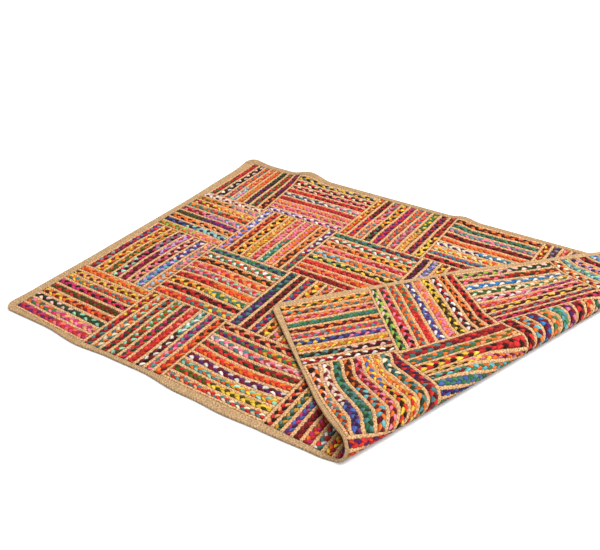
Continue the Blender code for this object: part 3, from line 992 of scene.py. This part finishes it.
class Nodes:
    """Short ways to add and join the nodes of one material."""

    def __init__(self, name):
        self.material = bpy.data.materials.new(name)
        self.material.use_nodes = True
        self.tree = self.material.node_tree
        self.shader = self.tree.nodes["Principled BSDF"]

    def feed(self, node, inputs):
        """Give a node its inputs, as values or as other nodes' outputs."""
        for key, value in inputs.items():
            if isinstance(value, bpy.types.NodeSocket):
                self.tree.links.new(value, node.inputs[key])
            else:
                node.inputs[key].default_value = value

    def add(self, kind, inputs=None, **settings):
        node = self.tree.nodes.new(kind)
        for key, value in settings.items():
            setattr(node, key, value)
        self.feed(node, inputs or {})
        return node

    def math(self, operation, a, b=0.0, c=0.0):
        return self.add("ShaderNodeMath", {0: a, 1: b, 2: c}, operation=operation).outputs[0]

    def mix(self, share, a, b):
        inputs = {SHARE_INPUT: share, FIRST_COLOUR_INPUT: a, SECOND_COLOUR_INPUT: b}
        return self.add("ShaderNodeMix", inputs, data_type="RGBA").outputs[2]

    def place(self):
        return self.add("ShaderNodeUVMap", uv_map="plait").outputs[0]

    def tint(self):
        return self.add("ShaderNodeAttribute", attribute_name="tint").outputs["Color"]

    def stretched(self, place, stretch):
        return self.add("ShaderNodeMapping", {"Vector": place, "Scale": stretch}).outputs[0]

    def noise(self, place, scale, detail):
        inputs = {"Vector": place, "Scale": scale, "Detail": detail}
        return self.add("ShaderNodeTexNoise", inputs).outputs[0]

    def ramp(self, value, start, end, low=0.0, high=1.0):
        """low below start, high above end, and a straight rise between."""
        inputs = {0: value, 1: start, 2: end, 3: low, 4: high}
        return self.add("ShaderNodeMapRange", inputs).outputs[0]

    def scaled(self, colour, brightness):
        inputs = {0: colour, "Scale": brightness}
        return self.add("ShaderNodeVectorMath", inputs, operation="SCALE").outputs[0]

    def finish(self, colour, height, bump, roughness):
        """The material, with painted shade in crevices and painted light in the open, and bumps."""
        reach = {"Distance": PAINTED_SHADE_REACH}
        # Painted shade: the colour is darkened where the surface is shut in and brightened where it
        # is open
        crevice_shade_node = self.add("ShaderNodeAmbientOcclusion", reach, samples=PAINTED_SHADE_SAMPLES)
        painted_crevice_shade = self.ramp(crevice_shade_node.outputs["AO"], *PAINTED_SHADE_RANGE, *PAINTED_SHADE_LEVELS)
        strength, distance = bump
        inputs = {"Height": height, "Strength": strength, "Distance": distance}
        bumps = self.add("ShaderNodeBump", inputs)
        self.feed(self.shader, {
            "Base Color": self.scaled(colour, painted_crevice_shade),
            "Normal": bumps.outputs[0],
            "Roughness": roughness,
            "Specular IOR Level": GLOSS,
        })
        return self.material


def make_rag_material():
    """Cotton rag: each strand's own cloth colour, creased along the strand, with a fine weave, and
    with painted shade and highlight in creases, painted shade on sides, painted light on top.
    """
    nodes = Nodes("rag cloth")
    place = nodes.place()
    crease = nodes.noise(nodes.stretched(place, CREASE_STRETCH), 1.0, CREASE_DETAIL)
    thread = nodes.noise(nodes.stretched(place, THREAD_STRETCH), 1.0, THREAD_DETAIL)
    # Painted shade on a strand's sides and painted light on its top, by where the map goes round it
    around = nodes.add("ShaderNodeSeparateXYZ", {0: place}).outputs[1]
    turn = nodes.math("MULTIPLY_ADD", around, 2 * math.pi, math.pi / STRAND_SIDES)
    side = nodes.math("POWER", nodes.math("ABSOLUTE", nodes.math("COSINE", turn)), PAINTED_SIDE_SHADE_POWER)
    shade = nodes.math("MULTIPLY_ADD", side, PAINTED_SIDE_SHADE, PAINTED_TOP_LIGHT)
    # Painted shade and highlight along the creases, from the noise that also bumps them
    brightness = nodes.math("MULTIPLY_ADD", crease, CREASE_PAINTED_SHADE_GAIN, CREASE_PAINTED_SHADE_START)
    brightness = nodes.math("MULTIPLY", brightness, shade)
    height = nodes.math("MULTIPLY_ADD", thread, THREAD_HEIGHT, crease)
    nodes.feed(nodes.shader, {"Sheen Weight": RAG_SHEEN, "Sheen Roughness": SHEEN_ROUGHNESS})
    return nodes.finish(nodes.scaled(nodes.tint(), brightness), height, RAG_BUMP, RAG_ROUGHNESS)


def make_jute_material(name, shades, mottling, with_painted_light=False):
    """Jute plait: slanting strands that meet in the middle, made of fine pale and dark fibres."""
    nodes = Nodes(name)
    place = nodes.place()
    split = nodes.add("ShaderNodeSeparateXYZ", {0: place})
    along, across = split.outputs[0], split.outputs[1]
    from_middle = nodes.math("ABSOLUTE", across)
    other_half = nodes.math("MULTIPLY", nodes.math("GREATER_THAN", across, 0.0), 0.5)
    shifted = nodes.math("ADD", along, other_half)
    slanted = nodes.math("MULTIPLY_ADD", from_middle, STRAND_SLANT, shifted)
    stray = nodes.noise(place, STRAY_SCALE, STRAY_DETAIL)
    slanted = nodes.math("MULTIPLY_ADD", stray, STRAY_SHARE, slanted)
    lobe = nodes.math("ABSOLUTE", nodes.math("SINE", nodes.math("MULTIPLY", slanted, math.pi)))
    lobe = nodes.math("POWER", lobe, LOBE_POWER)
    stretches = enumerate(zip((slanted, across, along), FIBRE_STRETCH))
    fibre_place = nodes.add("ShaderNodeCombineXYZ", {
        axis: nodes.math("MULTIPLY", value, stretch) for axis, (value, stretch) in stretches})
    fibre = nodes.noise(fibre_place.outputs[0], 1.0, FIBRE_DETAIL)
    patch = nodes.noise(place, PATCH_SCALE, PATCH_DETAIL)
    fleck = nodes.noise(place, FLECK_SCALE, FLECK_DETAIL)
    # Painted shade between the jute's strands
    painted_gap_shade = nodes.math("MULTIPLY", nodes.math("SUBTRACT", 1.0, lobe), PAINTED_GAP_SHADE_SHARE)
    pale, middle, dark = (tuple(linear(shade)) + (1.0,) for shade in shades)
    colour = nodes.mix(nodes.ramp(fibre, *FIBRE_RANGE), middle, pale)
    colour = nodes.mix(nodes.ramp(patch, *PATCH_RANGE, 0.0, PATCH_SHARE), colour, middle)
    colour = nodes.mix(painted_gap_shade, colour, dark)
    colour = nodes.mix(nodes.ramp(from_middle, *FOOT_RANGE, 0.0, FOOT_SHARE), colour, dark)
    colour = nodes.scaled(colour, nodes.ramp(fleck, *FLECK_RANGE, 1 - mottling, 1 + mottling))
    # The border's colour carries its painted light and shade
    if with_painted_light:
        inputs = {0: colour, 1: nodes.tint()}
        colour = nodes.add("ShaderNodeVectorMath", inputs, operation="MULTIPLY").outputs[0]
    height = nodes.math("MULTIPLY_ADD", fibre, FIBRE_HEIGHT, lobe)
    return nodes.finish(colour, height, JUTE_BUMP, JUTE_ROUGHNESS)


# ---------------------------------------------------------------- stage, light and camera

FLOOR_REACH = 14.0
FLOOR_LOOK = {
    "Base Color": (0.93, 0.93, 0.93, 1.0),
    "Roughness": 0.9,
    "Specular IOR Level": 0.1,
    "Emission Color": (1.0, 1.0, 1.0, 1.0),
    "Emission Strength": 0.12,
}
CAMERA_PLACE = (1.7229, -1.0199, 1.2735)  # from the rug's own near left corner
CAMERA_TURN = math.radians(-33.998)  # of the view from +Y towards +X
CAMERA_DIP = math.radians(32.941)
CAMERA_ROLL = math.radians(-0.8875)
CAMERA_LENS, SENSOR_WIDTH = 45.635, 36.0  # in mm
KEY_PLACE, KEY_SIZE, KEY_POWER = (2.0, 1.2, 4.0), 2.4, 200.0
WORLD_LIGHT = 0.95


def make_stage():
    mesh = bpy.data.meshes.new("floor")
    corners = ((-1, -1), (1, -1), (1, 1), (-1, 1))
    points = [(x * FLOOR_REACH, y * FLOOR_REACH, 0.0) for x, y in corners]
    mesh.from_pydata(points, [], [(0, 1, 2, 3)])
    nodes = Nodes("pale floor")
    nodes.feed(nodes.shader, FLOOR_LOOK)
    mesh.materials.append(nodes.material)
    floor = bpy.data.objects.new("floor", mesh)
    bpy.context.scene.collection.objects.link(floor)


def make_light():
    world = bpy.data.worlds.new("studio")
    world.use_nodes = True
    background = world.node_tree.nodes["Background"]
    background.inputs["Color"].default_value = (1.0, 1.0, 1.0, 1.0)
    background.inputs["Strength"].default_value = WORLD_LIGHT
    bpy.context.scene.world = world
    light = bpy.data.lights.new("key", "AREA")
    light.size = KEY_SIZE
    light.energy = KEY_POWER
    lamp = bpy.data.objects.new("key", light)
    lamp.location = KEY_PLACE
    lamp.rotation_euler = (-Vector(KEY_PLACE)).to_track_quat("-Z", "Y").to_euler()
    bpy.context.scene.collection.objects.link(lamp)
    bpy.context.scene.view_settings.view_transform = "Standard"


def make_camera():
    forward = Vector((math.sin(CAMERA_TURN) * math.cos(CAMERA_DIP),
                      math.cos(CAMERA_TURN) * math.cos(CAMERA_DIP), -math.sin(CAMERA_DIP)))
    right = Vector((math.cos(CAMERA_TURN), -math.sin(CAMERA_TURN), 0.0))
    up = right.cross(forward)
    turned_right = right * math.cos(CAMERA_ROLL) + up * math.sin(CAMERA_ROLL)
    turned_up = up * math.cos(CAMERA_ROLL) - right * math.sin(CAMERA_ROLL)
    axes = Matrix((turned_right, turned_up, -forward)).transposed().to_4x4()
    data = bpy.data.cameras.new("camera")
    data.lens = CAMERA_LENS
    data.sensor_width = SENSOR_WIDTH
    camera = bpy.data.objects.new("camera", data)
    camera.matrix_world = Matrix.Translation(Vector(CAMERA_PLACE) - Vector(ORIGIN)) @ axes
    bpy.context.scene.collection.objects.link(camera)
    bpy.context.scene.camera = camera


# ---------------------------------------------------------------- the whole

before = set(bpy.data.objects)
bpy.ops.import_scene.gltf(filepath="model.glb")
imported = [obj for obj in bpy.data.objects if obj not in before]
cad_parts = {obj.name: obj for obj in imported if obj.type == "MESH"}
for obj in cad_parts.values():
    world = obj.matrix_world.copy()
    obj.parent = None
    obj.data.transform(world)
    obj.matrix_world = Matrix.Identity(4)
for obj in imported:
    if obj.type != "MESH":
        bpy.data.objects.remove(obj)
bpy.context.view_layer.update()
make_camera()
make_light()
make_stage()

rag_material = make_rag_material()
jute_material = make_jute_material("jute between the rags", SEAM_JUTE, SEAM_MOTTLING)
border_material = make_jute_material(
    "jute of the border", BORDER_JUTE, BORDER_MOTTLING, with_painted_light=True)
for column in range(1, len(COLUMN_EDGES)):
    for row in range(1, len(ROW_EDGES)):
        panel = Panel(column, row)
        plaits = make_rag_plaits(panel, rag_material)
        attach(plaits, "root")
        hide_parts(f"panel_{column}_{row}")
        ground = make_jute_ground(panel, jute_material)
        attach(ground, "root")
        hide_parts(f"panel_{column}_{row}")
border = make_border(border_material)
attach(border, "root")
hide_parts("border")
